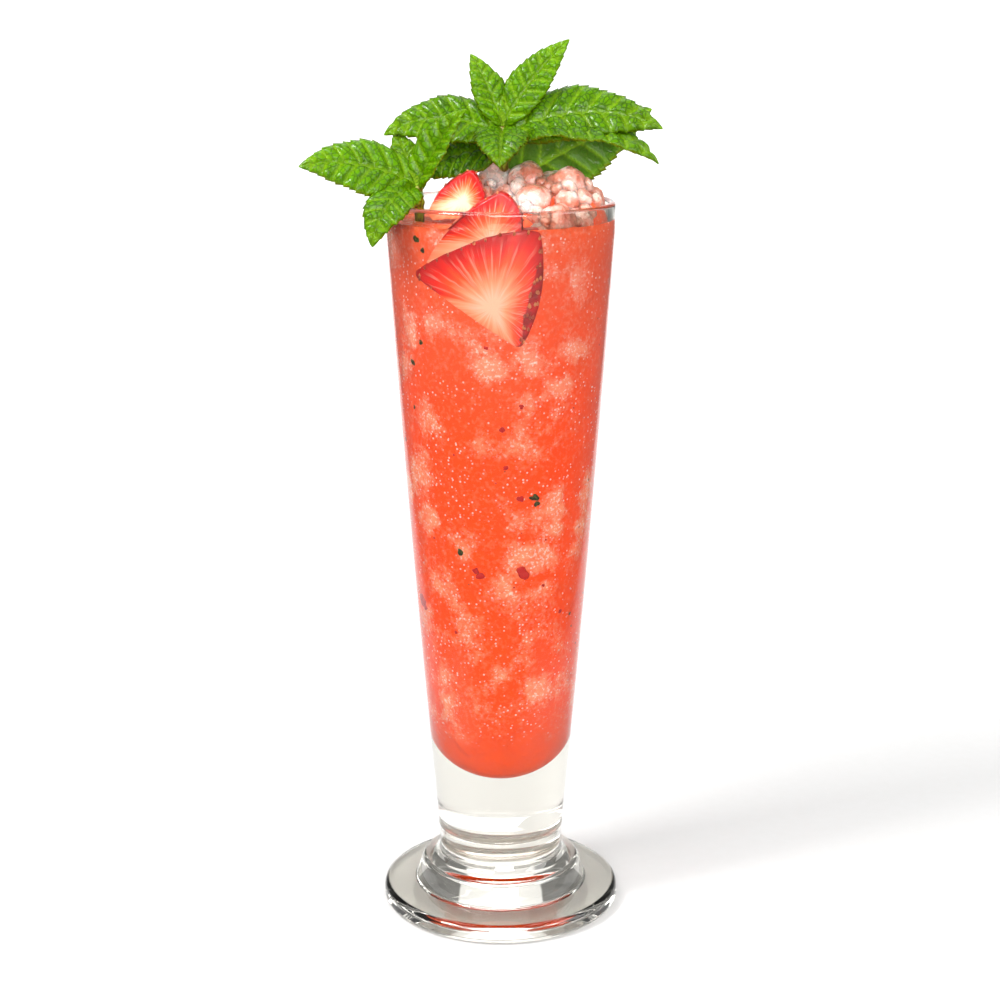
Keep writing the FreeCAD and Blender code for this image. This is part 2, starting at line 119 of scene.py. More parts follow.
# ---- Surfaces ----
def run(corners, closed=False, turn=4.0):
    """Points along lines and arcs, in millimetres.

    A corner is (across, up) or (across, up, radius), where the radius is that of the arc which leaves the
    corner. The arc's centre is on the left of the way for a positive radius and on the right for a negative
    one: middle of the chord plus its left normal times sqrt(radius^2 - (chord / 2)^2).
    """
    points = []
    count = len(corners)
    for index in range(count if closed else count - 1):
        start = np.array(corners[index][:2], float)
        end = np.array(corners[(index + 1) % count][:2], float)
        chord = end - start
        length = np.hypot(*chord)
        radius = corners[index][2] if len(corners[index]) > 2 else 0.0
        if radius:
            size = abs(radius)
            left = np.array([-chord[1], chord[0]]) / length * math.copysign(1, radius)
            centre = (start + end) / 2 + left * math.sqrt(max(size**2 - (length / 2) ** 2, 0))
            first = math.atan2(*(start - centre)[::-1])
            swing = math.atan2(*(end - centre)[::-1]) - first
            swing = (swing + math.pi) % (2 * math.pi) - math.pi
            parts = max(2, math.ceil(abs(swing) / math.radians(turn)), math.ceil(length / SPAN))
            way = first + swing * np.linspace(0, 1, parts, endpoint=False)
            points.append(centre + size * np.stack([np.cos(way), np.sin(way)], axis=1))
        else:
            parts = max(1, math.ceil(length / SPAN))
            points.append(start + chord * np.linspace(0, 1, parts, endpoint=False)[:, None])
    if not closed:
        points.append(np.array([corners[-1][:2]], float))
    return np.vstack(points)


def turned(profile, around):
    """Rings of a turned surface: (r cos a, r sin a, z) for each profile point (r, z), in millimetres."""
    angle = np.linspace(0, 2 * math.pi, around, endpoint=False)
    out = profile[:, :1]
    return np.stack([out * np.cos(angle), out * np.sin(angle), profile[:, 1:] + 0 * angle], axis=-1)


def close_ends(grid):
    """Per-vertex values of a grid of rings whose first and last rings shrink to one point each."""
    tail = grid.shape[2:]
    first = grid[:1].mean(axis=1)
    last = grid[-1:].mean(axis=1)
    return np.concatenate([first, grid[1:-1].reshape((-1,) + tail), last])


def ring_faces(rows, around, offset):
    """Faces between rings in order, with fans at the two end points."""
    inner = rows - 2
    grid = offset + 1 + np.arange(inner * around).reshape(inner, around)
    beside = np.roll(grid, -1, axis=1)
    last = offset + 1 + inner * around
    quads = np.stack([grid[:-1], beside[:-1], beside[1:], grid[1:]], axis=-1).reshape(-1, 4)
    opening = np.stack([np.full(around, offset), beside[0], grid[0]], axis=-1)
    closing = np.stack([grid[-1], beside[-1], np.full(around, last)], axis=-1)
    return quads.tolist() + opening.tolist() + closing.tolist()


def make_piece(name, parts, material, slot, *nodes):
    """One mesh object of closed surfaces. Each part is its rings in millimetres and its named values."""
    places = []
    faces = []
    values = {}
    count = 0
    for rings, marks in parts:
        points = close_ends(rings)
        faces += ring_faces(rings.shape[0], rings.shape[1], count)
        places.append(points)
        for key, grid in marks.items():
            values.setdefault(key, []).append(close_ends(grid))
        count += len(points)
    mesh = bpy.data.meshes.new(name)
    mesh.from_pydata(np.vstack(places) * MM, [], faces)
    for key, grids in values.items():
        data = np.concatenate(grids).astype(np.float32)
        kind = "FLOAT_VECTOR" if data.ndim > 1 else "FLOAT"
        field = "vector" if data.ndim > 1 else "value"
        mesh.attributes.new(key, kind, "POINT").data.foreach_set(field, data.ravel())
    work = bmesh.new()
    work.from_mesh(mesh)
    bmesh.ops.recalc_face_normals(work, faces=work.faces)
    work.to_mesh(mesh)
    work.free()
    mesh.polygons.foreach_set("use_smooth", np.ones(len(mesh.polygons), bool))
    mesh.materials.append(material)
    piece = bpy.data.objects.new(name, mesh)
    bpy.context.scene.collection.objects.link(piece)
    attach(piece, "root")
    if nodes:
        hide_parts(*nodes)
    return piece


def ripple(places, dice, wave, count=7):
    """Smooth random height between about -1 and 1: sines along random ways, wave millimetres long."""
    ways = dice.normal(size=(count, 3))
    ways /= np.linalg.norm(ways, axis=1)[:, None]
    ways *= 2 * math.pi / wave * dice.uniform(0.7, 1.4, (count, 1))
    shift = dice.uniform(0, 2 * math.pi, count)
    return np.sin(places @ ways.T + shift).sum(axis=-1) / math.sqrt(count)


def ball(rows, around):
    """Ways out from the middle of a ball, as rings from its lowest to its highest point."""
    up = np.linspace(-math.pi / 2, math.pi / 2, rows)[:, None]
    angle = np.linspace(0, 2 * math.pi, around, endpoint=False)[None, :]
    flat = np.cos(up)
    return np.stack([flat * np.cos(angle), flat * np.sin(angle), np.sin(up) + 0 * angle], axis=-1)


def any_turn(dice):
    """Random rotation matrix, from the QR factors of random numbers."""
    turn, _ = np.linalg.qr(dice.normal(size=(3, 3)))
    return turn


# ---- Glass ----
# Inside of the bowl in millimetres, up from its lowest point: a round nose, a wider arc, a straight wall.
INSIDE_FOOT = 45.2
NOSE = 16.0
NOSE_ANGLE = math.radians(62)
LOWER_BOWL = 20.9
WALL_ANGLE = math.radians(85.3)
MOUTH = 32.8
BAND_FOOT = 221.5
SIDE = (LOWER_BOWL - NOSE * math.sin(NOSE_ANGLE)) / (math.sin(WALL_ANGLE) - math.sin(NOSE_ANGLE))
SIDE_UP = INSIDE_FOOT + NOSE + (SIDE - NOSE) * math.cos(NOSE_ANGLE)
LOWER_BOWL_UP = SIDE_UP - SIDE * math.cos(WALL_ANGLE)
# Outside, from the axis under the foot to the mouth: radius, height and the radius of the arc after it.
OUTSIDE_CORNERS = [
    (0, 0), (36.6, 0, 2.0), (38.6, 2.0), (38.6, 3.6, 2.4),  # foot with its rolled edge
    (36.2, 6.0), (28.8, 6.7, -1.3), (27.5, 8.0), (26.08, 12.78, 2.6),  # step
    (24.0, 14.6), (22.3, 15.3, -5.0), (20.1, 21.5), (20.1, 25.5),  # shoulder and neck
    (20.45, 25.98, 1.2), (20.345, 26.7, 9000.0),  # bead, then the slightly bowed bowl
    (35.2, BAND_FOOT), (35.2, 228.8, 1.2), (34.0, 230.0, 1.2), (MOUTH, 228.8),  # band and rounded lip
]
WALL_BITE = 0.15  # how far the drink and the ice's core go into the wall, so that no film of air shows


def inside_corners(grow):
    """Corners of the bowl's inside from its mouth's band down to the axis, grown by a distance."""
    nose = NOSE + grow
    join = nose * math.sin(NOSE_ANGLE)
    join_up = INSIDE_FOOT + NOSE - nose * math.cos(NOSE_ANGLE)
    return [
        (MOUTH + grow, BAND_FOOT),
        (LOWER_BOWL + grow, LOWER_BOWL_UP, -(SIDE + grow)),
        (join, join_up, -nose),
        (0.0, INSIDE_FOOT - grow),
    ]


def inside_radius(height):
    """Inside radius of the glass's straight wall and band at a height, in millimetres."""
    return np.interp(height, [LOWER_BOWL_UP, BAND_FOOT], [LOWER_BOWL, MOUTH])


def pressed_glass():
    """Soda-lime glass, pressed and fire polished: clear and colourless, with faint flow waves."""
    material, add = new_material("pressed_soda_lime_glass")
    flow = add("TexNoise", add("TexCoord", output="Object"), per(26), 1.0)
    add("OutputMaterial", add("BsdfPrincipled", {
        "Base Color": add("Mix", flow, linear("#efede5"), linear("#ebe9e1"), **RGBA),
        "Normal": add("Bump", {"Height": flow, "Distance": 0.00012, "Strength": 0.6}),
        "Transmission Weight": 1.0,
        "Roughness": 0.0,
        "IOR": 1.5,
    }))
    return material


class MOJITO_OT_glass(bpy.types.Operator):
    """Make the footed pilsner glass"""

    bl_idname = "mojito.glass"
    bl_label = "Glass"

    def execute(self, context):
        profile = run(OUTSIDE_CORNERS + inside_corners(0.0), turn=5.0)
        rings = turned(profile, context.scene.mojito_glass.facets_round)
        make_piece("pilsner_glass", [(rings, {})], pressed_glass(), "clear_glass", "glass")
        return {"FINISHED"}


# ---- Drink ----
def strawberry_slush(look):
    """Blended strawberry and crushed ice: wet coral slush with paler lumps of ice and white grains, which are
    also painted glints.
    """
    material, add = new_material("strawberry_slush")
    place = add("TexCoord", output="Object")
    height = add("SeparateXYZ", place, output="Z")
    above_foot = add("MapRange", height, 0.057, 0.067, **SMOOTH)
    near_top = add("MapRange", height, 0.150, 0.222, **SMOOTH)

    # Lumps: ragged crowns round scattered points, in loose groups.
    wander = add("TexNoise", place, per(9), 2.0, output="Color")
    bend = add("VectorMath", wander, (0.5, 0.5, 0.5), operation="SUBTRACT")
    bent = add("VectorMath", bend, (0.007, 0.007, 0.007), place, **TIMES_PLUS)
    lumps = add("TexVoronoi", bent, per(look.lump_size / MM), {"Smoothness": 0.7}, feature="SMOOTH_F1")
    crisp = add("TexNoise", place, per(5), 5.0)
    ragged = add("Math", crisp, -0.9, lumps, **TIMES_PLUS)
    crowns = add("MapRange", ragged, 0.14, -0.30, **SMOOTH)
    many = add("MapRange", add("TexNoise", place, per(24), 1.0), 0.38, 0.6, **SMOOTH)
    lit = add("Math", add("Math", crowns, many, **TIMES), above_foot, **TIMES)
    grains = add("TexNoise", place, per(1.3), 4.0)
    rough = add("Math", grains, 1.5, -0.75, **TIMES_PLUS)
    lit = add("Math", rough, above_foot, lit, **TIMES_PLUS)
    deep = add("Mix", near_top, look.deep, look.deep_top, **RGBA)
    pale = add("Mix", near_top, look.pale, look.pale_top, **RGBA)
    strength = add("Math", lit, look.lump_strength, use_clamp=True, **TIMES)
    colour = add("Mix", strength, deep, pale, **RGBA)

    # Frost of fine crystals on the lumps.
    crystals = add("MapRange", add("TexNoise", place, per(0.9), 5.0), 0.53, 0.64, **SMOOTH)
    frost = add("Math", add("Math", crystals, crowns, **TIMES), many, **TIMES)
    frost = add("Math", add("Math", frost, above_foot, **TIMES), 0.65, **TIMES)
    colour = add("Mix", frost, colour, look.spark, **RGBA)

    # White dots: grains of ice and painted glints on them. The real grains are about half a millimetre; these
    # are drawn at one so that they show.
    sparks = add("TexVoronoi", place, per(1.15)).node.outputs
    dot = add("MapRange", sparks["Distance"], 0.34, 0.16, **SMOOTH)
    some = add("Math", add("SeparateColor", sparks["Color"]), 0.62, operation="GREATER_THAN")
    where = add("MapRange", add("TexNoise", place, per(15), 2.0), 0.36, 0.60, **SMOOTH)
    grains_and_glints = add("Math", add("Math", dot, some, **TIMES), where, **TIMES)
    grains_and_glints = add("Math", add("Math", grains_and_glints, above_foot, **TIMES), 0.75, **TIMES)
    relief = add("Math", grains, 0.25, crowns, **TIMES_PLUS)
    add("OutputMaterial", add("BsdfPrincipled", {
        "Base Color": add("Mix", grains_and_glints, colour, look.spark, **RGBA),
        "Normal": add("Bump", {"Height": relief, "Distance": 0.0012, "Strength": 0.45}),
        "Roughness": 0.35,
        "IOR": 1.34,
        "Specular IOR Level": 0.05,
        "Subsurface Weight": look.glow,
        "Subsurface Radius": (1.0, 0.35, 0.15),
        "Subsurface Scale": 0.0015,
    }))
    return material


class MOJITO_OT_drink(bpy.types.Operator):
    """Make the slushy drink that fills the bowl to its level"""

    bl_idname = "mojito.drink"
    bl_label = "Drink"

    def execute(self, context):
        look = context.scene.mojito_drink
        level = DRINK_LEVEL / MM
        edge = MOUTH + WALL_BITE
        wall = run([(edge, level + 0.5)] + inside_corners(WALL_BITE))
        inward = np.linspace(0, edge - 0.6, 90)
        # The last part of the top climbs the wall as wet slush does.
        climb = 0.5 * np.exp(-(MOUTH - inward) / 1.2)
        top = np.stack([inward, level + climb], axis=1)
        rings = turned(np.vstack([top, wall]), 240)
        dice = np.random.default_rng(11)
        count = len(top)
        crest = 0.35 * ripple(rings[:count], dice, 9.0) + 0.22 * ripple(rings[:count], dice, 2.6)
        fade = np.clip((MOUTH - inward) / 2.0, 0, 1)[:, None]
        rings[:count, :, 2] += crest * fade - 0.25 * fade
        make_piece("strawberry_slush", [(rings, {})], strawberry_slush(look), "strawberry_slush", "drink")
        return {"FINISHED"}


# Flecks against the wall: way round from the front in degrees, height and size in millimetres.
MINT_FLECKS = (
    (-49, 190, 1.1), (-58, 183, 1.5), (-60, 169, 0.9), (-78, 157, 1.0), (22, 143, 2.3), (23.5, 141, 1.3),
    (-28, 125, 1.5), (60, 102, 0.8), (84, 106, 0.8), (-47, 221, 1.6), (-43, 218, 1.4), (130, 178, 1.3),
    (165, 132, 1.7), (-150, 160, 1.2), (-120, 112, 1.5), (105, 205, 1.2), (-172, 92, 1.0),
)
BERRY_FLECKS = (
    (3, 153, 1.2), (13, 143, 1.6), (15, 119, 2.3), (18, 117.5, 1.3), (-14, 118, 2.0), (-17, 119.5, 1.2),
    (-73, 105, 2.7), (-69, 103, 1.8), (-8, 190, 0.9), (12, 172, 0.9), (1, 165, 1.1), (31, 114, 0.9),
    (48, 104, 1.0), (-35, 98, 0.8), (120, 150, 1.8), (150, 110, 2.2), (-160, 185, 1.3), (-135, 140, 2.0),
    (-110, 95, 1.4), (178, 122, 1.5),
)


def flecks(table, seed, stray):
    """Bits pressed against the wall: uneven balls, flattened across the wall, with small strays between."""
    dice = np.random.default_rng(seed)
    spots = list(table)
    for _ in range(stray):
        spots.append((dice.uniform(-180, 180), dice.uniform(90, 212), dice.uniform(0.25, 0.55)))
    parts = []
    for way, height, size in spots:
        ways = ball(11, 16)
        uneven = 1 + 0.28 * ripple(ways, dice, 1.6)[..., None]
        spread = ways * uneven * np.array([dice.uniform(0.5, 0.72), 0.22, dice.uniform(0.5, 0.78)]) * size
        roll = dice.uniform(0, math.pi)
        across = spread[..., 0] * math.cos(roll) - spread[..., 2] * math.sin(roll)
        up = spread[..., 0] * math.sin(roll) + spread[..., 2] * math.cos(roll)
        angle = math.radians(way)
        out = inside_radius(height) + 0.18 - spread[..., 1]
        x = out * math.sin(angle) + across * math.cos(angle)
        y = -out * math.cos(angle) + across * math.sin(angle)
        parts.append((np.stack([x, y, height + up], axis=-1), {}))
    return parts


def soaked(name, dark, light, size_mm):
    """Chopped plant or berry soaked in juice: dark, wet and mottled."""
    material, add = new_material(name)
    mottle = add("TexNoise", add("TexCoord", output="Object"), per(size_mm), 3.0)
    add("OutputMaterial", add("BsdfPrincipled", {
        "Base Color": add("Mix", add("MapRange", mottle, 0.35, 0.65, **SMOOTH), dark, light, **RGBA),
        "Normal": add("Bump", {"Height": mottle, "Distance": 0.0003, "Strength": 0.5}),
        "Roughness": 0.4,
        "IOR": 1.36,
        "Specular IOR Level": 0.3,
    }))
    return material


class MOJITO_OT_flecks(bpy.types.Operator):
    """Make the bits of mint and berry that show through the glass"""

    bl_idname = "mojito.flecks"
    bl_label = "Flecks"

    def execute(self, context):
        look = context.scene.mojito_drink
        mint = soaked("soaked_mint", look.mint_fleck, linear("#3d4a12"), 0.8)
        berry = soaked("soaked_berry", look.berry_fleck, linear("#b81a12"), 0.9)
        make_piece("mint_flecks", flecks(MINT_FLECKS, 5, 16), mint, "mint")
        make_piece("berry_flecks", flecks(BERRY_FLECKS, 6, 30), berry, "strawberry")
        return {"FINISHED"}


# ---- Crushed ice ----
# Large lumps of the heap: across, back, radius and rise of the top above the rim, in millimetres.
ICE_LUMPS = (
    (-2.0, 4.0, 6.2, 10.0), (8.0, 0.0, 6.3, 11.0), (20.0, -5.0, 7.0, 10.4), (27.0, -3.0, 5.0, 4.0),
    (10.0, -14.0, 6.6, 6.0), (17.0, -22.5, 6.2, 0.6), (-8.0, 16.0, 6.8, 4.0), (6.0, 21.0, 7.0, 2.6),
    (20.0, 17.0, 7.0, 2.6), (16.0, 5.0, 5.6, 8.5),
)


def heap_height(across, back):
    """Height of the heap: the highest of its rounded lumps, blended by a soft maximum where they meet."""
    bumps = [rise - 5.0 * ((across - x) ** 2 + (back - y) ** 2) / r**2 for x, y, r, rise in ICE_LUMPS]
    bumps = np.maximum(np.stack(bumps), -14.0)
    return RIM / MM + 1.6 * np.log(np.exp(bumps / 1.6).sum(axis=0))


def crushed_ice(look):
    """Crushed ice wet with juice: clear at its rims, frosted inside, tinted pink by the drink."""
    material, add = new_material("crushed_ice")
    place = add("TexCoord", output="Object")
    frost = add("TexNoise", place, per(2.6), 4.0)
    mixed = add("Math", frost, 0.45, add("TexNoise", place, per(9), 1.0), **TIMES_PLUS)
    whiteness = add("MapRange", mixed, 0.58, 0.88, **SMOOTH)
    relief = add("Math", add("TexVoronoi", place, per(1.6)), 0.6, frost, **TIMES_PLUS)
    add("OutputMaterial", add("BsdfPrincipled", {
        "Base Color": add("Mix", whiteness, look.juice, look.frost, **RGBA),
        "Normal": add("Bump", {"Height": relief, "Distance": 0.0010, "Strength": 0.7}),
        "Roughness": add("MapRange", frost, 0.35, 0.65, 0.08, 0.35, **SMOOTH),
        "IOR": 1.31,
        "Transmission Weight": look.clearness,
        "Subsurface Weight": 0.9,
        "Subsurface Radius": (1.0, 0.7, 0.6),
        "Subsurface Scale": 0.004,
        "Coat Weight": 0.6,
        "Coat Roughness": 0.06,
    }))
    return material


def ice_lump(centre, radii, dice, rows=19, around=28):
    """Rounded broken lump: a ball whose radius waves at two lengths, stretched and turned at random."""
    ways = ball(rows, around)
    uneven = 1 + 0.10 * ripple(ways, dice, 2.6) + 0.045 * ripple(ways, dice, 0.9)
    # Flat broken sides: each way out is cut back to a few planes near the surface.
    planes = dice.normal(size=(5, 3))
    planes /= np.linalg.norm(planes, axis=1)[:, None]
    facing = ways @ planes.T
    cut = np.where(facing > 0.3, 0.86 / np.maximum(facing, 0.3), 9.0).min(axis=-1)
    uneven = np.minimum(uneven, cut * (1 + 0.03 * ripple(ways, dice, 0.7)))
    return (ways * uneven[..., None] * np.array(radii)) @ any_turn(dice).T + np.array(centre)


def clear_of_garnish(across, back):
    """True where no slice or stem stands, seen from above."""
    out = math.hypot(across, back)
    beside_wall = across < 8.5 and back < 0 and out > 21.5
    beside_slice = -24 < across < -1 and -14.5 < back < -2.5
    beside_stem = math.hypot(across + 24.5, back + 3) < 8.0
    return not (beside_wall or beside_slice or beside_stem)


class MOJITO_OT_crushed_ice(bpy.types.Operator):
    """Make the heap of crushed ice: its large and small lumps over a core"""

    bl_idname = "mojito.crushed_ice"
    bl_label = "Crushed ice"

    def execute(self, context):
        look = context.scene.mojito_ice
        dice = np.random.default_rng(look.seed)
        top = RIM / MM
        parts = []
        taken = []
        for across, back, radius, rise in ICE_LUMPS:
            high = radius * 0.86
            radii = (radius, radius * dice.uniform(0.82, 0.95), high)
            out = math.hypot(across, back) + radius
            pull = min(1.0, (MOUTH - 0.2) / out)
            centre = (across * pull, back * pull, top + rise - high)
            parts.append((ice_lump(centre, radii, dice, 25, 36), {}))
            taken.append((centre, radius))
        for _ in range(9000):
            if len(parts) >= look.lumps:
                break
            radius = float(dice.choice([2.4, 3.2, 4.0, 4.8], p=[0.25, 0.3, 0.25, 0.2]))
            away = (MOUTH - 0.3 - radius) * math.sqrt(dice.uniform(0, 1))
            way = dice.uniform(0, 2 * math.pi)
            across = away * math.cos(way)
            back = away * math.sin(way)
            height = float(heap_height(np.float64(across), np.float64(back)))
            if height < top - 5.5 or not clear_of_garnish(across, back):
                continue
            centre = (across, back, height - radius * 0.75)
            gaps = [math.dist(centre, other) - 0.55 * (radius + size) for other, size in taken]
            if min(gaps) < 0:
                continue
            radii = radius * np.array([1.0, dice.uniform(0.75, 1), dice.uniform(0.7, 0.95)])
            parts.append((ice_lump(centre, radii, dice), {}))
            taken.append((centre, radius))
        make_piece("crushed_ice_lumps", parts, crushed_ice(look), "ice", "crushed_ice")
        core = self.core(top)
        slush = strawberry_slush(context.scene.mojito_drink)
        make_piece("crushed_ice_core", [(core, {})], slush, "ice", "crushed_ice")
        return {"FINISHED"}

    def core(self, top):
        """Slushy heap under the lumps: the heap's height less three millimetres, with a flat underside."""
        wall = MOUTH + WALL_BITE
        out = np.linspace(0, wall, 60)
        rings = turned(np.stack([out, 0 * out], axis=1), 150)
        dice = np.random.default_rng(3)
        height = heap_height(rings[..., 0], rings[..., 1]) - 3.0 + 0.35 * ripple(rings, dice, 4.0)
        under = DRINK_LEVEL / MM - 1.5
        rings[..., 2] = np.clip(height, under + 0.2, top + 12)
        base = turned(np.stack([np.linspace(wall, 0, 12), np.full(12, under)], axis=1), 150)
        return np.concatenate([rings, base])


# ---- Strawberry slices ----
SLICE_THICKNESS = 5.0
EDGE_BAND = 0.05  # share of the face that a thin line of skin takes


def strawberry_flesh(look):
    """Cut strawberry: wet pale core, white and orange rays to a red rim, dark glossy skin."""
    material, add = new_material("strawberry_flesh")
    way = add("Attribute", attribute_name="flesh", output="Vector")
    skin = add("Attribute", attribute_name="skin", output="Fac")
    share = add("SeparateXYZ", way, output="Z")
    rays = add("TexNoise", add("VectorMath", way, (8.5, 8.5, 0.9), **TIMES), 1.0, 3.0)
    fine = add("TexNoise", add("VectorMath", way, (18.0, 18.0, 1.4), **TIMES), 1.0, 2.0)
    out = add("Math", share, add("Math", rays, 0.36, -0.18, **TIMES_PLUS), operation="ADD")
    shades = (look.core, look.inner, look.middle, look.outer, look.rim)
    flesh = add("ValToRGB", out, stops=tuple(zip((0.14, 0.37, 0.56, 0.78, 0.96), shades)))
    outer = add("MapRange", share, 0.96, 0.75, **SMOOTH)
    inner = add("MapRange", share, 0.25, 0.5, **SMOOTH)
    streak = add("MapRange", fine, 0.52, 0.66, **SMOOTH)
    streak = add("Math", streak, add("Math", outer, inner, **TIMES), **TIMES)
    flesh = add("Mix", add("Math", streak, 0.32, **TIMES), flesh, look.ray, **RGBA)
    mottle = add("TexNoise", add("TexCoord", output="Object"), per(3.2), 3.0)
    # Painted shade: the dark skin goes where the mottle is low, and the mottle is also the bump's height, so
    # it darkens the dimples.
    peel = add("Mix", add("MapRange", mottle, 0.35, 0.65, **SMOOTH), look.skin_dark, look.skin, **RGBA)
    grain = add("Math", mottle, 0.5, fine, **TIMES_PLUS)
    add("OutputMaterial", add("BsdfPrincipled", {
        "Base Color": add("Mix", skin, flesh, peel, **RGBA),
        "Normal": add("Bump", {"Height": grain, "Distance": 0.0004, "Strength": 0.5}),
        "Roughness": 0.30,
        "IOR": 1.36,
        "Subsurface Weight": 0.2,
        "Subsurface Radius": (1.0, 0.3, 0.15),
        "Subsurface Scale": 0.002,
        "Coat Weight": 0.35,
        "Coat Roughness": 0.12,
    }))
    return material


def strawberry_seed(look):
    """Strawberry seeds: small dry husks, yellow to reddish brown, slightly glossy."""
    material, add = new_material("strawberry_seed")
    mottle = add("TexNoise", add("TexCoord", output="Object"), per(2.0), 2.0)
    tone = add("MapRange", mottle, 0.4, 0.6, **SMOOTH)
    colour = add("Mix", tone, look.seed_dark, look.seed, **RGBA)
    add("OutputMaterial", add("BsdfPrincipled", {"Base Color": colour, "Roughness": 0.35, "IOR": 1.45}))
    return material


def wall_place(across, up, deep, beyond):
    """Points of a layer bent against the wall: y = -sqrt(R(z)^2 - x^2), R the inside radius less the depth.

    beyond is how far the layer's outer face lies past the inside of the wall while it is in the drink;
    above the drink it eases back to a gap of 0.3 mm.
    """
    free = np.clip((up - (DRINK_LEVEL / MM - 0.5)) / 3.0, 0, 1)
    past = beyond + (-0.3 - beyond) * free * free * (3 - 2 * free)
    radius = inside_radius(up) + past - deep
    back = -np.sqrt(np.maximum(radius**2 - across**2, 0.01))
    return np.stack([across, back, up], axis=-1)


def flat_place(across, up, deep, origin, turn, lean):
    """Points of a flat slab: centred on its depth, leant forward, turned about the upright, then moved."""
    turn = math.radians(turn)
    lean = math.radians(lean)
    deep = deep - SLICE_THICKNESS / 2
    back = deep * math.cos(lean) - up * math.sin(lean)
    high = up * math.cos(lean) + deep * math.sin(lean)
    x = across * math.cos(turn) - back * math.sin(turn)
    y = across * math.sin(turn) + back * math.cos(turn)
    return np.stack([x, y, high], axis=-1) + np.array(origin)


def skin_round(edge, core, first, last):
    """Ways from the core to the outline's points in degrees, and their share of skin: 1 from first to last."""
    way = np.degrees(np.arctan2(*(edge - core).T[::-1]))
    return way, smooth_round(np.where((way >= first) & (way <= last), 1.0, 0.0), 3)


def berry_slice(side, edge, skin, core, band, put, bulge, seed, flesh):
    """Make a closed slice: rings that shrink from its edge to its core on both faces, and a rounded side.

    edge holds points round the outline, skin how much of each is berry skin, and band how wide the skin shows
    on the faces, as a share of the way to the core. A point on a face is core + share * (edge - core); the
    side stands out by bulge * sin(pi * depth / thickness) where it is skin. The flesh attribute is the way
    out as a cosine and sine, and the share, less on cut edges so that they stay pale.
    """
    dice = np.random.default_rng(seed)
    share = np.concatenate([np.linspace(0, 0.985, 56), [1.0, 1.0]])
    depth = np.concatenate([np.zeros(56), [0.06, 0.14]])
    shares = np.concatenate([share, np.ones(10), share[::-1]])[:, None]
    depths = np.concatenate([depth, np.linspace(0.2, 0.8, 10), 1 - depth[::-1]])[:, None]
    away = edge - core
    unit = away / np.linalg.norm(away, axis=1)[:, None]
    stand = bulge * np.sin(math.pi * depths) * skin
    flat = core + shares[..., None] * away + stand[..., None] * unit
    rings = put(flat[..., 0], flat[..., 1], depths * SLICE_THICKNESS + 0 * flat[..., 0])
    rings = rings + 0.10 * ripple(rings, dice, 3.0)[..., None] * np.array([0, 0, 1.0])
    angle = np.arctan2(away[:, 1], away[:, 0]) + 0 * shares
    ripe = 0.42 + 0.58 * smooth_round(skin, 80)
    outer = np.clip((shares - 1 + band) / 0.025, 0, 1)
    between = np.where((depths > 0.05) & (depths < 0.95), 1.0, 0.0)
    marks = {
        "flesh": np.stack([np.cos(angle), np.sin(angle), shares * ripe], axis=-1),
        "skin": np.maximum(outer, between) * skin,
    }
    make_piece(f"berry_slice_{side}", [(rings, marks)], flesh, "strawberry", f"strawberry_slice_{side}")


def seed_part(place, out, up, size):
    """One seed: a teardrop on the skin, pointed at its upper end, half sunk."""
    ways = ball(8, 10)
    length = size * 0.75
    width = size * 0.45 * (1 - 0.35 * ways[..., 2])
    side = np.cross(up, out)
    side /= np.linalg.norm(side)
    tall = np.cross(out, side)
    body = ways[..., :1] * width[..., None] * side + ways[..., 1:2] * size * 0.28 * out
    return place + body + ways[..., 2:3] * length * tall, {}


def evenly(edge, count):
    """Outline resampled to evenly spaced points by the length along it."""
    closed = np.vstack([edge, edge[:1]])
    along = np.concatenate([[0], np.cumsum(np.hypot(*np.diff(closed, axis=0).T))])
    want = np.linspace(0, along[-1], count, endpoint=False)
    return np.stack([np.interp(want, along, closed[:, 0]), np.interp(want, along, closed[:, 1])], axis=1)


def smooth_round(values, passes):
    """Values round a loop, each averaged with its two neighbours several times."""
    for _ in range(passes):
        values = (np.roll(values, 1) + values * 2 + np.roll(values, -1)) / 4
    return values


# Slices, in millimetres: name, corners of the outline and their arcs, points round it, where the outline
# starts and where its core is, between which angles it is skin, how it is placed, how far its side bulges.
SLICES = (
    (
        # Quarter of a berry bent against the wall: skin on its top and right, one straight cut.
        "front",
        [(0.73, 19.6), (27.74, 1.05, 2.19), (31.025, 1.75, 45.5), (36.5, 23.1, 56.0), (35.77, 33.25, 2.92),
         (33.58, 35.0, 41.975), (12.045, 29.4, 32.85), (0.365, 21.7, 1.825)],
        300, (-24.4, RIM / MM - 40.2), (-2.2, RIM / MM - 28.0), (-58, 168),
        functools.partial(wall_place, beyond=0.45), 0.5,
    ),
    (
        # Slice on the front one's upper edge, bent against the wall, its point above the rim.
        "middle",
        [(0.0, 1.554), (1.37, 0.0), (27.4, 0.0), (27.4, 13.764, 11.1), (23.564, 21.201, 3.014),
         (20.824, 22.2, 43.84)],
        260, (-21.3, RIM / MM - 17.0), (-3.0, RIM / MM - 9.0), (-5, 176),
        functools.partial(wall_place, beyond=0.30), 0.4,
    ),
    (
        # Smaller flat half slice behind, its point higher above the rim.
        "back",
        [(0.0, 1.74), (1.75, 0.0), (16.1, 0.87, 2.1), (17.5, 2.9, 18.85), (14.35, 13.775, 1.575),
         (12.25, 14.5, 21.0), (0.35, 2.9, 0.875)],
        240, (0.0, 0.0), (10.85, 6.09), (-40, 200),
        functools.partial(flat_place, origin=(-21.7, -7.8, RIM / MM - 5.0), turn=-6, lean=2), 0.4,
    ),
)


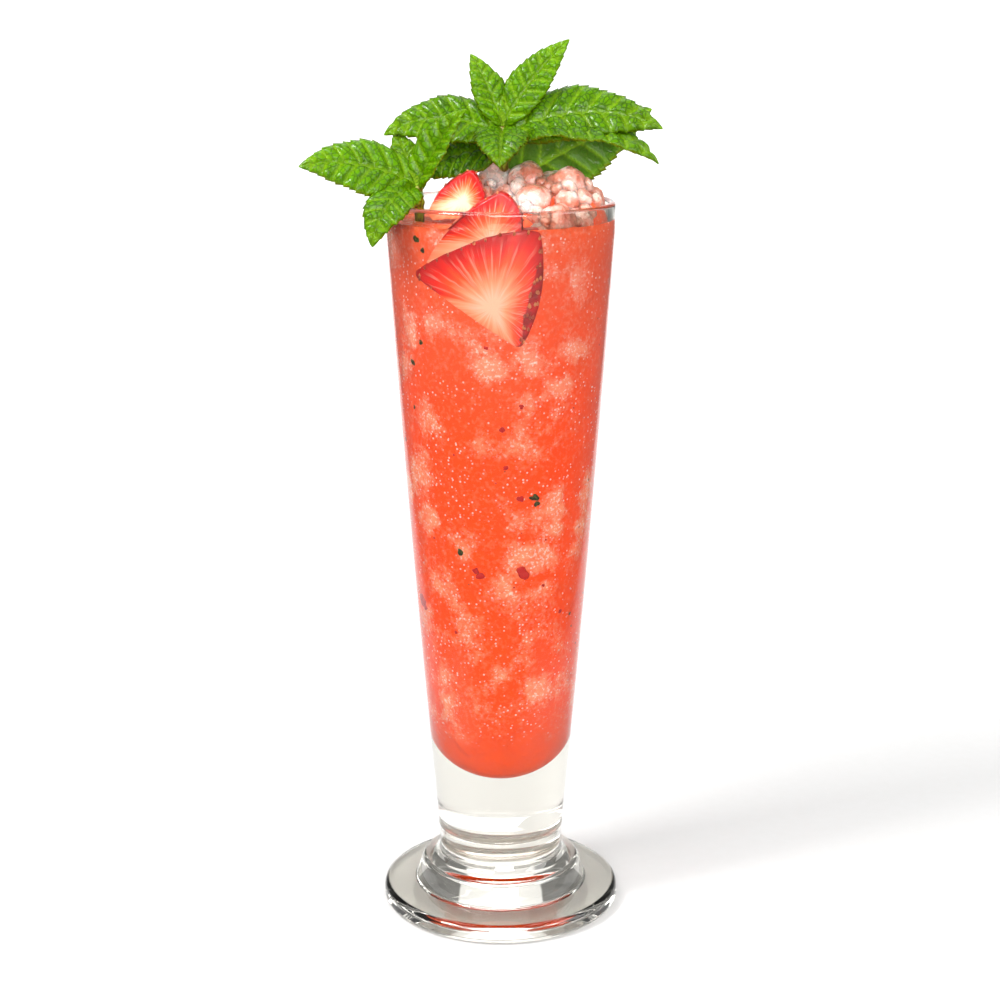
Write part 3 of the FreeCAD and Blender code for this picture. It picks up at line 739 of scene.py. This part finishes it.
class MOJITO_OT_strawberry_slices(bpy.types.Operator):
    """Make the three strawberry slices and their seeds"""

    bl_idname = "mojito.strawberry_slices"
    bl_label = "Strawberry slices"

    def execute(self, context):
        look = context.scene.mojito_berry
        flesh = strawberry_flesh(look)
        seeds = []
        for seed, (side, corners, count, shift, core, ends, put, bulge) in enumerate(SLICES, 21):
            edge = evenly(run(corners, closed=True), count) + np.array(shift)
            core = np.array(core)
            way, skin = skin_round(edge, core, *ends)
            dice = np.random.default_rng(seed + 10)
            if side == "front":
                right = np.clip((60 - np.abs(way)) / 40, 0, 1)
                band = smooth_round(0.035 + 0.22 * right * right * (3 - 2 * right), 6)
                seeds += self.face_seeds(edge, core, skin, put, dice, band)
            else:
                band = EDGE_BAND
                seeds += self.edge_seeds(edge, core, skin, put, dice)
            berry_slice(side, edge, skin, core, band, put, bulge, seed, flesh)
        make_piece("strawberry_seeds", seeds, strawberry_seed(look), "strawberry")
        return {"FINISHED"}

    def face_seeds(self, edge, core, skin, put, dice, band):
        """Seeds on the skin that shows on a slice's face, in more rows where its band is wider."""
        seeds = []
        for index in [index for index in range(0, len(edge), 11) if skin[index] >= 0.9]:
            rows = 1 + int(round(band[index] * 11))
            for row in range(rows):
                share = 1 - band[index] * (row + 0.35 + 0.3 * (index % 2)) / max(rows, 1) - 0.006
                spot = core + share * (edge[index] - core) + dice.normal(0, 0.22, 2)
                place = put(*spot, -0.06)
                out = np.array([spot[0], place[1], 0]) / np.hypot(spot[0], place[1])
                seeds.append(seed_part(place, out, np.array([0.1, 0, 1.0]), dice.uniform(0.75, 1.0)))
        return seeds

    def edge_seeds(self, edge, core, skin, put, dice):
        """Seeds in two staggered rows on a slice's rounded side, from every twelfth point of its outline."""
        seeds = []
        for index in [index for index in range(0, len(edge), 12) if skin[index] >= 0.9]:
            for row in (0.3, 0.72)[:1 if index % 24 else 2]:
                stand = (edge[index] - core) / np.linalg.norm(edge[index] - core)
                spot = edge[index] + dice.normal(0, 0.12, 2) + stand * 0.35
                place = put(*spot, row * SLICE_THICKNESS)
                out = np.array([stand[0], 0.0, stand[1]])
                seeds.append(seed_part(place, out, np.array([0.0, 1.0, 0.05]), dice.uniform(0.7, 1.0)))
        return seeds


# ---- Mint ----
def mint_leaf(look):
    """Fresh spearmint: glossy puckered blade, paler sunken veins and margin, matt pale underside; painted
    light on the puffs, and painted shade in the net's grooves and on leaves in shade.
    """
    material, add = new_material("spearmint_leaf")
    place = add("TexCoord", output="Object")
    marks = ("vein", "swell", "under", "shade")
    vein, swell, under, shade = [add("Attribute", attribute_name=mark, output="Fac") for mark in marks]
    # The real net of fine veins is under a millimetre; this one is drawn at nearly two so that it shows.
    net = add("TexVoronoi", place, per(1.8), feature="DISTANCE_TO_EDGE")
    ridges = add("MapRange", net, 0.0, 0.16, **SMOOTH)
    patch = add("TexNoise", place, per(7), 3.0)
    # Each leaf's shade value is painted shade: leaves that stand in shade are darker, and the young top leaves
    # are also paler.
    tone = add("Math", patch, 0.7, add("Math", shade, -0.45, operation="ADD"), **TIMES_PLUS)
    blade = add("Mix", tone, look.dark, look.bright, **RGBA)
    # Painted highlight: the swollen puffs between the veins are mixed towards the bright green, as if lit.
    painted_light_on_puffs = add("Math", add("Math", swell, ridges, **TIMES), 0.38, **TIMES)
    blade = add("Mix", painted_light_on_puffs, blade, look.bright, **RGBA)
    # Painted shade: the lines of the net are darkened, as the shade in the grooves between the puffs.
    lines = add("Math", add("Math", 1.0, ridges, operation="SUBTRACT"), 0.3, **TIMES)
    blade = add("Mix", lines, blade, look.dark, **RGBA)
    blade = add("Mix", add("Math", vein, 0.38, **TIMES), blade, look.vein, **RGBA)
    below = add("Mix", add("Math", vein, 0.7, **TIMES), look.underside, look.vein, **RGBA)
    relief = add("Math", patch, 0.3, ridges, **TIMES_PLUS)
    add("OutputMaterial", add("BsdfPrincipled", {
        "Base Color": add("Mix", under, blade, below, **RGBA),
        "Normal": add("Bump", {"Height": relief, "Distance": 0.0004, "Strength": 0.45}),
        "Roughness": add("MapRange", under, 0.0, 1.0, 0.27, 0.55, **SMOOTH),
        "IOR": 1.42,
        "Specular IOR Level": 0.05,
        "Subsurface Weight": 0.3,
        "Subsurface Radius": (0.5, 1.0, 0.12),
        "Subsurface Scale": 0.0012,
        "Coat Weight": 0.16,
        "Coat Roughness": 0.14,
    }))
    return material


def mint_stem(look):
    """Mint stem: four-sided, smooth, olive with streaks of brown along its length."""
    material, add = new_material("spearmint_stem")
    fibre = add("Mapping", add("TexCoord", output="Object"), {"Scale": (1.0, 1.0, 0.15)})
    streaks = add("TexNoise", fibre, per(0.9), 3.0)
    tone = add("MapRange", streaks, 0.35, 0.65, **SMOOTH)
    add("OutputMaterial", add("BsdfPrincipled", {
        "Base Color": add("Mix", tone, look.stem_dark, look.stem, **RGBA),
        "Normal": add("Bump", {"Height": streaks, "Distance": 0.0003, "Strength": 0.5}),
        "Roughness": 0.4,
        "IOR": 1.42,
        "Subsurface Weight": 0.15,
        "Subsurface Radius": (0.6, 1.0, 0.2),
        "Subsurface Scale": 0.001,
    }))
    return material


# Leaves: way down the stem, length, width (mm), heading, rise, bend, roll, fold (degrees), shade 0 to 1, where
# 0 is darkest: painted shade on leaves that stand in shade, and the paler green of the young top leaves.
RIGHT_LEAVES = (
    (0.5, 24, 12, 152, 70, 15, -38, 12, 0.60),
    (0.5, 33, 13, 13, 62, 22, 60, 12, 0.62),
    (2.0, 22, 17, -93, 4, 60, 0, 12, 0.40),
    (3.5, 50, 21, -8, 29, 52, 48, 12, 0.48),
    (3.5, 38, 17, 176, 30, 60, -54, 12, 0.52),
    (6.0, 51, 20, -15, 27, 66, 14, 12, 0.42),
    (20.0, 52, 25, 12, 31, 10, -80, 4, 0.20),
    (8.5, 29, 20, 172, 8, 52, -46, 12, 0.28),
    (0.3, 7.0, 3.2, 60, 74, 30, 20, 30, 0.75),
    (0.3, 6.5, 3.0, -100, 72, 35, 0, 30, 0.75),
    (0.3, 6.0, 3.0, -170, 76, 30, -30, 30, 0.75),
)
LEFT_LEAVES = (
    (0.5, 37, 19, -170, 31, 42, -56, 6, 0.62),
    (1.5, 29, 14, -22, 69, 25, 72, 35, 0.62),
    (2.0, 29, 16, -126, 8, 84, -16, 12, 0.50),
    (3.0, 22, 11, 128, 66, 20, -32, 12, 0.45),
    (0.3, 7.0, 3.4, 40, 74, 30, 20, 30, 0.75),
    (0.3, 6.0, 3.0, -140, 72, 35, 0, 30, 0.75),
)
# Each sprig's leaves, and its stem's foot and top.
SPRIGS = (
    ("left", LEFT_LEAVES, ((-23.4, 4.0, 196.0), (-24.9, -8.0, 235.5))),
    ("right", RIGHT_LEAVES, ((2.0, 18.0, 192.0), (0.6, -2.0, 252.7))),
)


def leaf_surface(blade, base, dice):
    """Closed mint leaf as rings round its section, from its stalk to its tip.

    The midrib is an arc whose slope falls from rise to rise - bend. The half width is
    w sin(pi t^0.75)^0.85 with saw teeth that lean to the tip. A point across the midrib at v, from -1 to 1,
    lies v w cos(fold) aside and |v| w sin(fold) up, less a droop of 0.16 w v^2. Side veins leave the midrib
    evenly and bend forward: t - 0.62 |v|^0.85 w / length is constant on one, and the blade swells between.
    """
    _, length, width, heading, rise, bend, roll, fold, shade = blade
    heading, rise, bend, roll, fold = (math.radians(v) for v in (heading, rise, bend, roll, fold))
    small = length < 10
    rows = 40 if small else int(length * 3.4)
    t = np.linspace(0, 1, rows)[:, None]
    v = np.linspace(-1, 1, 21)[None, :]
    far = np.abs(v)
    arch = np.sin(math.pi * t)
    ahead = np.array([math.cos(heading), math.sin(heading), 0.0])
    above = np.array([0.0, 0.0, 1.0])
    slope = (rise - bend * t)[..., None]
    radius = length / bend
    point = np.array(base) + ahead * radius * (math.sin(rise) - np.sin(slope))
    point = point + above * radius * (np.cos(slope) - math.cos(rise))
    along = ahead * np.cos(slope) + above * np.sin(slope)
    out = above * np.cos(slope) - ahead * np.sin(slope)
    side = np.cross(along, out)
    face = out * math.cos(roll) + side * math.sin(roll)
    aside = np.cross(along, face)

    swell_width = np.sin(math.pi * t**0.75).clip(0, 1) ** 0.85
    stalk = 0.8 * (1 - t) + 0.12
    half = np.maximum(width / 2 * swell_width, stalk)
    phase = (t * max(9, round(length / 2.6)) + 0.12 * np.sin(t * 21)) % 1.0
    saw = (phase**1.3 - 0.42) * np.clip(arch, 0, 1) ** 0.5
    toothed = 0 if small else width * far**5
    reach_out = half * far + 0.034 * toothed * saw
    forward = 0.03 * toothed * phase * arch

    droop = 0.16 * half * v**2
    frill = 0.05 * half * far ** 3 * np.sin(2 * math.pi * (t * 3.2 + 0.2 * np.sign(v)) + heading * 3)
    curl = 0.35 * math.sin(heading * 7) * v * half * 0.12 * t
    veins = 7 if length > 30 else 6 if length > 20 else 5
    line = (t - 0.62 * far ** 0.85 * half / length) * (veins + 1) + 0.12 * np.sign(v)
    between = np.abs(np.sin(math.pi * line))
    body = np.clip(far / 0.12, 0, 1) * (1 - far ** 7) * np.clip(arch * 3, 0, 1)
    swell = between**0.7 * body
    puff = 0.078 * width * swell
    middle = point + aside * (np.sign(v) * reach_out * math.cos(fold))[..., None]
    middle = middle + along * forward[..., None]
    pucker = 0.005 * width * ripple(middle, dice, 3.4, 9) * body
    lift = far * half * math.sin(fold) - droop + frill + curl
    lift = lift + puff + pucker - 0.03 * width * np.exp(-((v / 0.05) ** 2)) * arch
    middle = middle + face * lift[..., None]
    thick = 0.10 + 0.16 * (1 - far ** 4) + 0.5 * np.exp(-((v * half / 0.8) ** 2)) * (1 - t * 0.8)
    upper = middle + face * (0.10 * (1 - far ** 6))[..., None]
    lower = middle - face * (thick * (1 - far ** 8))[..., None]
    sharp = np.exp(-((np.sin(math.pi * line) * half / (veins * 0.42)) ** 2)) * body
    rib = np.exp(-((v * half / 0.42) ** 2))
    margin = 0.5 * far ** 12
    vein = np.clip(np.maximum(np.maximum(sharp, rib), margin) + 0 * t, 0, 1)

    def both(top, bottom):
        return np.concatenate([top, bottom[:, -2:0:-1]], axis=1)

    marks = {
        "vein": both(vein, vein),
        "swell": both(swell, swell),
        "under": both(np.zeros_like(vein), np.ones_like(vein)),
        "shade": both(shade + 0 * vein, shade + 0 * vein),
    }
    return both(upper, lower), marks


def stem_surface(foot, top, radius):
    """Four-sided stem, r (1 + 0.1 cos 4a) round a straight path, with a swelling at each pair of leaves."""
    foot = np.array(foot)
    top = np.array(top)
    t = np.linspace(0, 1, 90)[:, None]
    path = foot + (top - foot) * t
    angle = np.linspace(0, 2 * math.pi, 28, endpoint=False)[None, :]
    square = radius * (1 + 0.10 * np.cos(4 * angle))
    knots = 1 + 0.28 * np.exp(-(((t - 0.86) / 0.02) ** 2)) + 0.22 * np.exp(-(((t - 0.67) / 0.02) ** 2))
    size = square * knots * (1.06 - 0.14 * t)
    size[-1] *= 0.2
    way = (top - foot) / np.linalg.norm(top - foot)
    side = np.cross(way, [0, 1, 0])
    side /= np.linalg.norm(side)
    other = np.cross(way, side)
    rings = path[:, None] + size[..., None] * (
        np.cos(angle)[..., None] * side + np.sin(angle)[..., None] * other
    )
    return rings, {}


class MOJITO_OT_mint(bpy.types.Operator):
    """Make the two mint sprigs: leaves and stems"""

    bl_idname = "mojito.mint"
    bl_label = "Mint sprigs"

    def execute(self, context):
        look = context.scene.mojito_mint
        leaf = mint_leaf(look)
        stem = mint_stem(look)
        for side, leaves, (foot, top) in SPRIGS:
            node = f"mint_sprig_{side}"
            dice = np.random.default_rng(41)
            down = (np.array(foot) - np.array(top)) / math.dist(foot, top)
            parts = [leaf_surface(blade, np.array(top) + down * blade[0], dice) for blade in leaves]
            make_piece(f"mint_leaves_{side}", parts, leaf, "mint", node)
            stalk = stem_surface(foot, top, look.stem_radius / MM)
            make_piece(f"mint_stem_{side}", [stalk], stem, "mint", node)
        return {"FINISHED"}


# ---- Studio ----
def paper_with_painted_shade():
    """Matt studio paper on a grey table: a sheet widening backwards, soft edges, palest far behind. The
    table's grey and the paper's greyer near part are painted shade, which the glass mirrors as dark
    surroundings.
    """
    material, add = new_material("matt_paper_with_painted_shade")
    place = add("TexCoord", output="Object")
    across, back = add("SeparateXYZ", place).node.outputs[:2]
    ahead = add("MapRange", back, -0.17, -0.078, **SMOOTH)
    beside = add("Math", back, -0.27, add("Math", across, operation="ABSOLUTE"), **TIMES_PLUS)
    sheet = add("Math", ahead, add("MapRange", beside, 0.235, 0.176, **SMOOTH), **TIMES)
    tooth = add("TexNoise", place, per(4), 2.0)
    # Painted shade: the paper near the glass is grey, and it pales only far behind.
    near = add("Mix", tooth, linear("#b7b7b6"), linear("#bababa"), **RGBA)
    paper = add("Mix", add("MapRange", back, 0.15, 1.3, **SMOOTH), near, linear("#fafafa"), **RGBA)
    # Painted shade: grey round the sheet, in front and at the sides.
    colour = add("Mix", sheet, linear("#7c7c7b"), paper, **RGBA)
    surface = {"Base Color": colour, "Roughness": 0.9, "Specular IOR Level": 0.1}
    add("OutputMaterial", add("BsdfPrincipled", surface))
    return material


def soft_light(name, place, target, size, power):
    """Square area light at a place, facing a target."""
    data = bpy.data.lights.new(name, "AREA")
    data.shape = "SQUARE"
    data.size = size
    data.energy = power
    lamp = bpy.data.objects.new(name, data)
    bpy.context.scene.collection.objects.link(lamp)
    way = np.array(target) - np.array(place)
    lamp.location = place
    flat = math.hypot(way[0], way[1])
    lamp.rotation_euler = (math.atan2(flat, -way[2]), 0, math.atan2(way[1], way[0]) - math.pi / 2)
    return lamp


class MOJITO_OT_studio(bpy.types.Operator):
    """Make the pale floor, the soft lights and the camera"""

    bl_idname = "mojito.studio"
    bl_label = "Studio"

    def execute(self, context):
        scene = context.scene
        look = scene.mojito_studio
        self.floor(scene)

        world = bpy.data.worlds.new("studio_room")
        scene.world = world
        world.use_nodes = True
        world.node_tree.nodes.clear()
        add = functools.partial(add_node, world.node_tree)
        back = add("SeparateXYZ", add("TexCoord", output="Generated"), output="Y")
        behind = add("MapRange", back, -0.75, 0.35, look.front_light, look.back_light, **SMOOTH)
        add("OutputWorld", add("Background", (1.0, 1.0, 1.0, 1.0), behind))

        aim = (0.0, 0.0, 0.16)
        sun = bpy.data.lights.new("window_light", "SUN")
        sun.energy = look.window_strength
        sun.angle = math.radians(35)
        window = bpy.data.objects.new("window_light", sun)
        window.rotation_euler = (math.radians(42), 0, math.radians(-38))
        scene.collection.objects.link(window)
        for light in (
            ("key_light", (-0.70, -0.35, 0.95), aim, 0.28, look.key_power),
            ("fill_light", (0.95, -0.25, 0.75), aim, 0.7, look.fill_power),
            ("front_softbox", (0.15, -1.2, 0.55), aim, 0.8, look.softbox_power),
            ("top_light", (0.0, 0.55, 1.15), aim, 0.8, look.top_power),
            ("backdrop_light", (0.0, 0.35, 1.5), (0.0, 1.5, 0.3), 0.8, look.backdrop_power),
        ):
            soft_light(*light)

        # The camera looks down a little, at a distance of about 0.6 m.
        data = bpy.data.cameras.new("studio_camera")
        data.lens = 69.24
        data.sensor_width = 36.0
        camera = bpy.data.objects.new("studio_camera", data)
        camera.location = (-0.0002, -0.5905, 0.2909)
        camera.rotation_euler = (math.radians(75.25), 0, 0)
        scene.collection.objects.link(camera)
        scene.camera = camera
        scene.view_settings.view_transform = "Standard"
        return {"FINISHED"}

    def floor(self, scene):
        """Pale floor whose paper rises behind the glass: flat, a quarter turn of 0.5 m, then upright."""
        bend = np.linspace(0, math.pi / 2, 25)
        back = np.concatenate([[-8.0, -2.0, 0.0], 1.3 + 0.5 * np.sin(bend), [1.8]])
        high = np.concatenate([[0.0, 0.0, 0.0], 0.5 - 0.5 * np.cos(bend), [2.4]])
        across = np.array([-8.0, -2.0, 0.0, 2.0, 8.0])
        grid = np.stack(np.broadcast_arrays(across[None, :], back[:, None], high[:, None]), axis=-1)
        rows, columns = grid.shape[:2]
        index = np.arange(rows * columns).reshape(rows, columns)
        faces = np.stack([index[:-1, :-1], index[:-1, 1:], index[1:, 1:], index[1:, :-1]], axis=-1)
        mesh = bpy.data.meshes.new("studio_floor")
        mesh.from_pydata(grid.reshape(-1, 3), [], faces.reshape(-1, 4).tolist())
        mesh.polygons.foreach_set("use_smooth", np.ones(len(mesh.polygons), bool))
        mesh.materials.append(paper_with_painted_shade())
        paper = bpy.data.objects.new("studio_floor", mesh)
        paper.location.z = -0.0001
        scene.collection.objects.link(paper)


# ---- Settings, panel and registration ----
def colour(name, description, code):
    """Colour property with its default from an sRGB hex value."""
    plain = {"name": name, "description": description, "default": linear(code)}
    return bpy.props.FloatVectorProperty(subtype="COLOR", size=4, min=0.0, max=1.0, **plain)


def amount(name, description, default, **limits):
    """Number property that is never below zero."""
    return bpy.props.FloatProperty(name=name, description=description, default=default, min=0.0, **limits)


SHARE = {"max": 1.0, "subtype": "FACTOR"}


class GlassSettings(bpy.types.PropertyGroup):
    """Settings of the glass"""

    facets_round: bpy.props.IntProperty(
        name="Facets round",
        description="Faces round the glass's axis",
        default=256,
        min=64,
        max=512,
    )


class DrinkSettings(bpy.types.PropertyGroup):
    """Sizes and colours of the slushy drink"""

    lump_size: amount("Lump size", "Size of the paler lumps of ice in the drink", 0.0125, unit="LENGTH")
    lump_strength: amount(
        "Lump strength",
        "How far the lumps go from the deep to the pale colour",
        0.85,
        max=2.0,
        subtype="FACTOR",
    )
    glow: amount("Glow", "Share of light that spreads inside the slush", 0.12, **SHARE)
    deep: colour("Deep", "Juice between the lumps", "#fe4e00")
    deep_top: colour("Deep at the top", "Juice between the lumps near the top", "#f0603a")
    pale: colour("Pale", "Lumps of ice", "#ffa27a")
    pale_top: colour("Pale at the top", "Lumps of ice near the top", "#f8a68e")
    # This white is also that of the painted glints in the slush.
    spark: colour("Grains", "White grains of ice", "#fff2ea")
    mint_fleck: colour("Mint fleck", "Bits of mint in the drink", "#1c2408")
    berry_fleck: colour("Berry fleck", "Bits of berry in the drink", "#b8120a")


class IceSettings(bpy.types.PropertyGroup):
    """Sizes and colours of the crushed ice"""

    lumps: bpy.props.IntProperty(
        name="Lumps",
        description="Number of lumps in the heap",
        default=95,
        min=10,
        max=160,
    )
    seed: bpy.props.IntProperty(
        name="Seed",
        description="Start of the random layout of the small lumps",
        default=7,
    )
    clearness: amount("Clearness", "Share of light that goes straight through the ice", 0.4, **SHARE)
    frost: colour("Frost", "Frosted ice", "#eed6cb")
    juice: colour("Juice", "Ice tinted by juice", "#d88a73")


class BerrySettings(bpy.types.PropertyGroup):
    """Colours of the strawberry slices"""

    core: colour("Core", "Middle of the cut face", "#fdd0b2")
    inner: colour("Inner", "Flesh round the core", "#fb9c70")
    middle: colour("Middle flesh", "Flesh half way out", "#fb5a24")
    outer: colour("Outer flesh", "Flesh near the rim", "#ee1c06")
    rim: colour("Rim", "Last of the flesh under the skin", "#c60408")
    ray: colour("Rays", "White rays of the cut face", "#fcd9c0")
    skin: colour("Skin", "Berry skin", "#c40a12")
    # Dark skin is painted shade in the dimples of the skin.
    skin_dark: colour("Dark skin", "Berry skin in its dimples", "#8a0408")
    seed: colour("Seed", "Pale seeds", "#cf8450")
    seed_dark: colour("Dark seed", "Reddish seeds", "#9c3a20")


class MintSettings(bpy.types.PropertyGroup):
    """Sizes and colours of the mint sprigs"""

    stem_radius: amount("Stem radius", "Half the width of the stems", 0.0014, unit="LENGTH")
    # Bright also paints the light on raised puffs and on open leaves, and dark paints the shade in sunken
    # grooves and on leaves in shade.
    bright: colour("Bright", "Young and raised parts of a leaf", "#528000")
    dark: colour("Dark", "Old and sunken parts of a leaf", "#081e00")
    vein: colour("Veins", "Veins and margin", "#7ea218")
    underside: colour("Underside", "Underside of a leaf", "#4f7020")
    stem: colour("Stem", "Stem", "#7d8a1e")
    stem_dark: colour("Dark stem", "Brown streaks of the stem", "#4a3606")


class StudioSettings(bpy.types.PropertyGroup):
    """Lights of the studio"""

    front_light: amount("Front light", "Strength of the room's light from the camera's side", 0.45)
    back_light: amount("Back light", "Strength of the room's light from behind the glass", 0.55)
    window_strength: amount("Window strength", "Strength of the wide soft light from the upper left", 1.5)
    key_power: amount("Key power", "Power of the key light on the left, in watts", 14.0)
    fill_power: amount("Fill power", "Power of the fill light on the right, in watts", 7.0)
    softbox_power: amount(
        "Front softbox power",
        "Power of the large soft light in front of the glass, in watts",
        25.0,
    )
    backdrop_power: amount(
        "Backdrop power",
        "Power of the light on the paper behind the glass, in watts",
        3.0,
    )
    top_power: amount("Top power", "Power of the light above and behind, in watts", 4.0)


OPERATORS = (
    MOJITO_OT_glass,
    MOJITO_OT_drink,
    MOJITO_OT_flecks,
    MOJITO_OT_crushed_ice,
    MOJITO_OT_strawberry_slices,
    MOJITO_OT_mint,
    MOJITO_OT_studio,
)


class MOJITO_PT_pieces(bpy.types.Panel):
    """Buttons and settings for the strawberry mojito"""

    bl_label = "Strawberry mojito"
    bl_idname = "MOJITO_PT_pieces"
    bl_space_type = "VIEW_3D"
    bl_region_type = "UI"
    bl_category = "Mojito"

    def draw(self, context):
        for operator in OPERATORS:
            self.layout.operator(operator.bl_idname)
        for attribute, _ in SETTINGS:
            group = getattr(context.scene, attribute)
            box = self.layout.box()
            for name in group.__annotations__:
                box.prop(group, name)


SETTINGS = (
    ("mojito_glass", GlassSettings),
    ("mojito_drink", DrinkSettings),
    ("mojito_ice", IceSettings),
    ("mojito_berry", BerrySettings),
    ("mojito_mint", MintSettings),
    ("mojito_studio", StudioSettings),
)
CLASSES = tuple(group for _, group in SETTINGS) + OPERATORS + (MOJITO_PT_pieces,)


def register():
    """Add the classes and the scene's settings."""
    for item in CLASSES:
        bpy.utils.register_class(item)
    for attribute, group in SETTINGS:
        setattr(bpy.types.Scene, attribute, bpy.props.PointerProperty(type=group))


def unregister():
    """Remove the scene's settings and the classes."""
    for attribute, _ in SETTINGS:
        delattr(bpy.types.Scene, attribute)
    for item in reversed(CLASSES):
        bpy.utils.unregister_class(item)


def main():
    """Make every piece and the studio."""
    register()
    bpy.ops.mojito.glass()
    bpy.ops.mojito.drink()
    bpy.ops.mojito.flecks()
    bpy.ops.mojito.crushed_ice()
    bpy.ops.mojito.strawberry_slices()
    bpy.ops.mojito.mint()
    bpy.ops.mojito.studio()


if __name__ == "__main__":
    main()
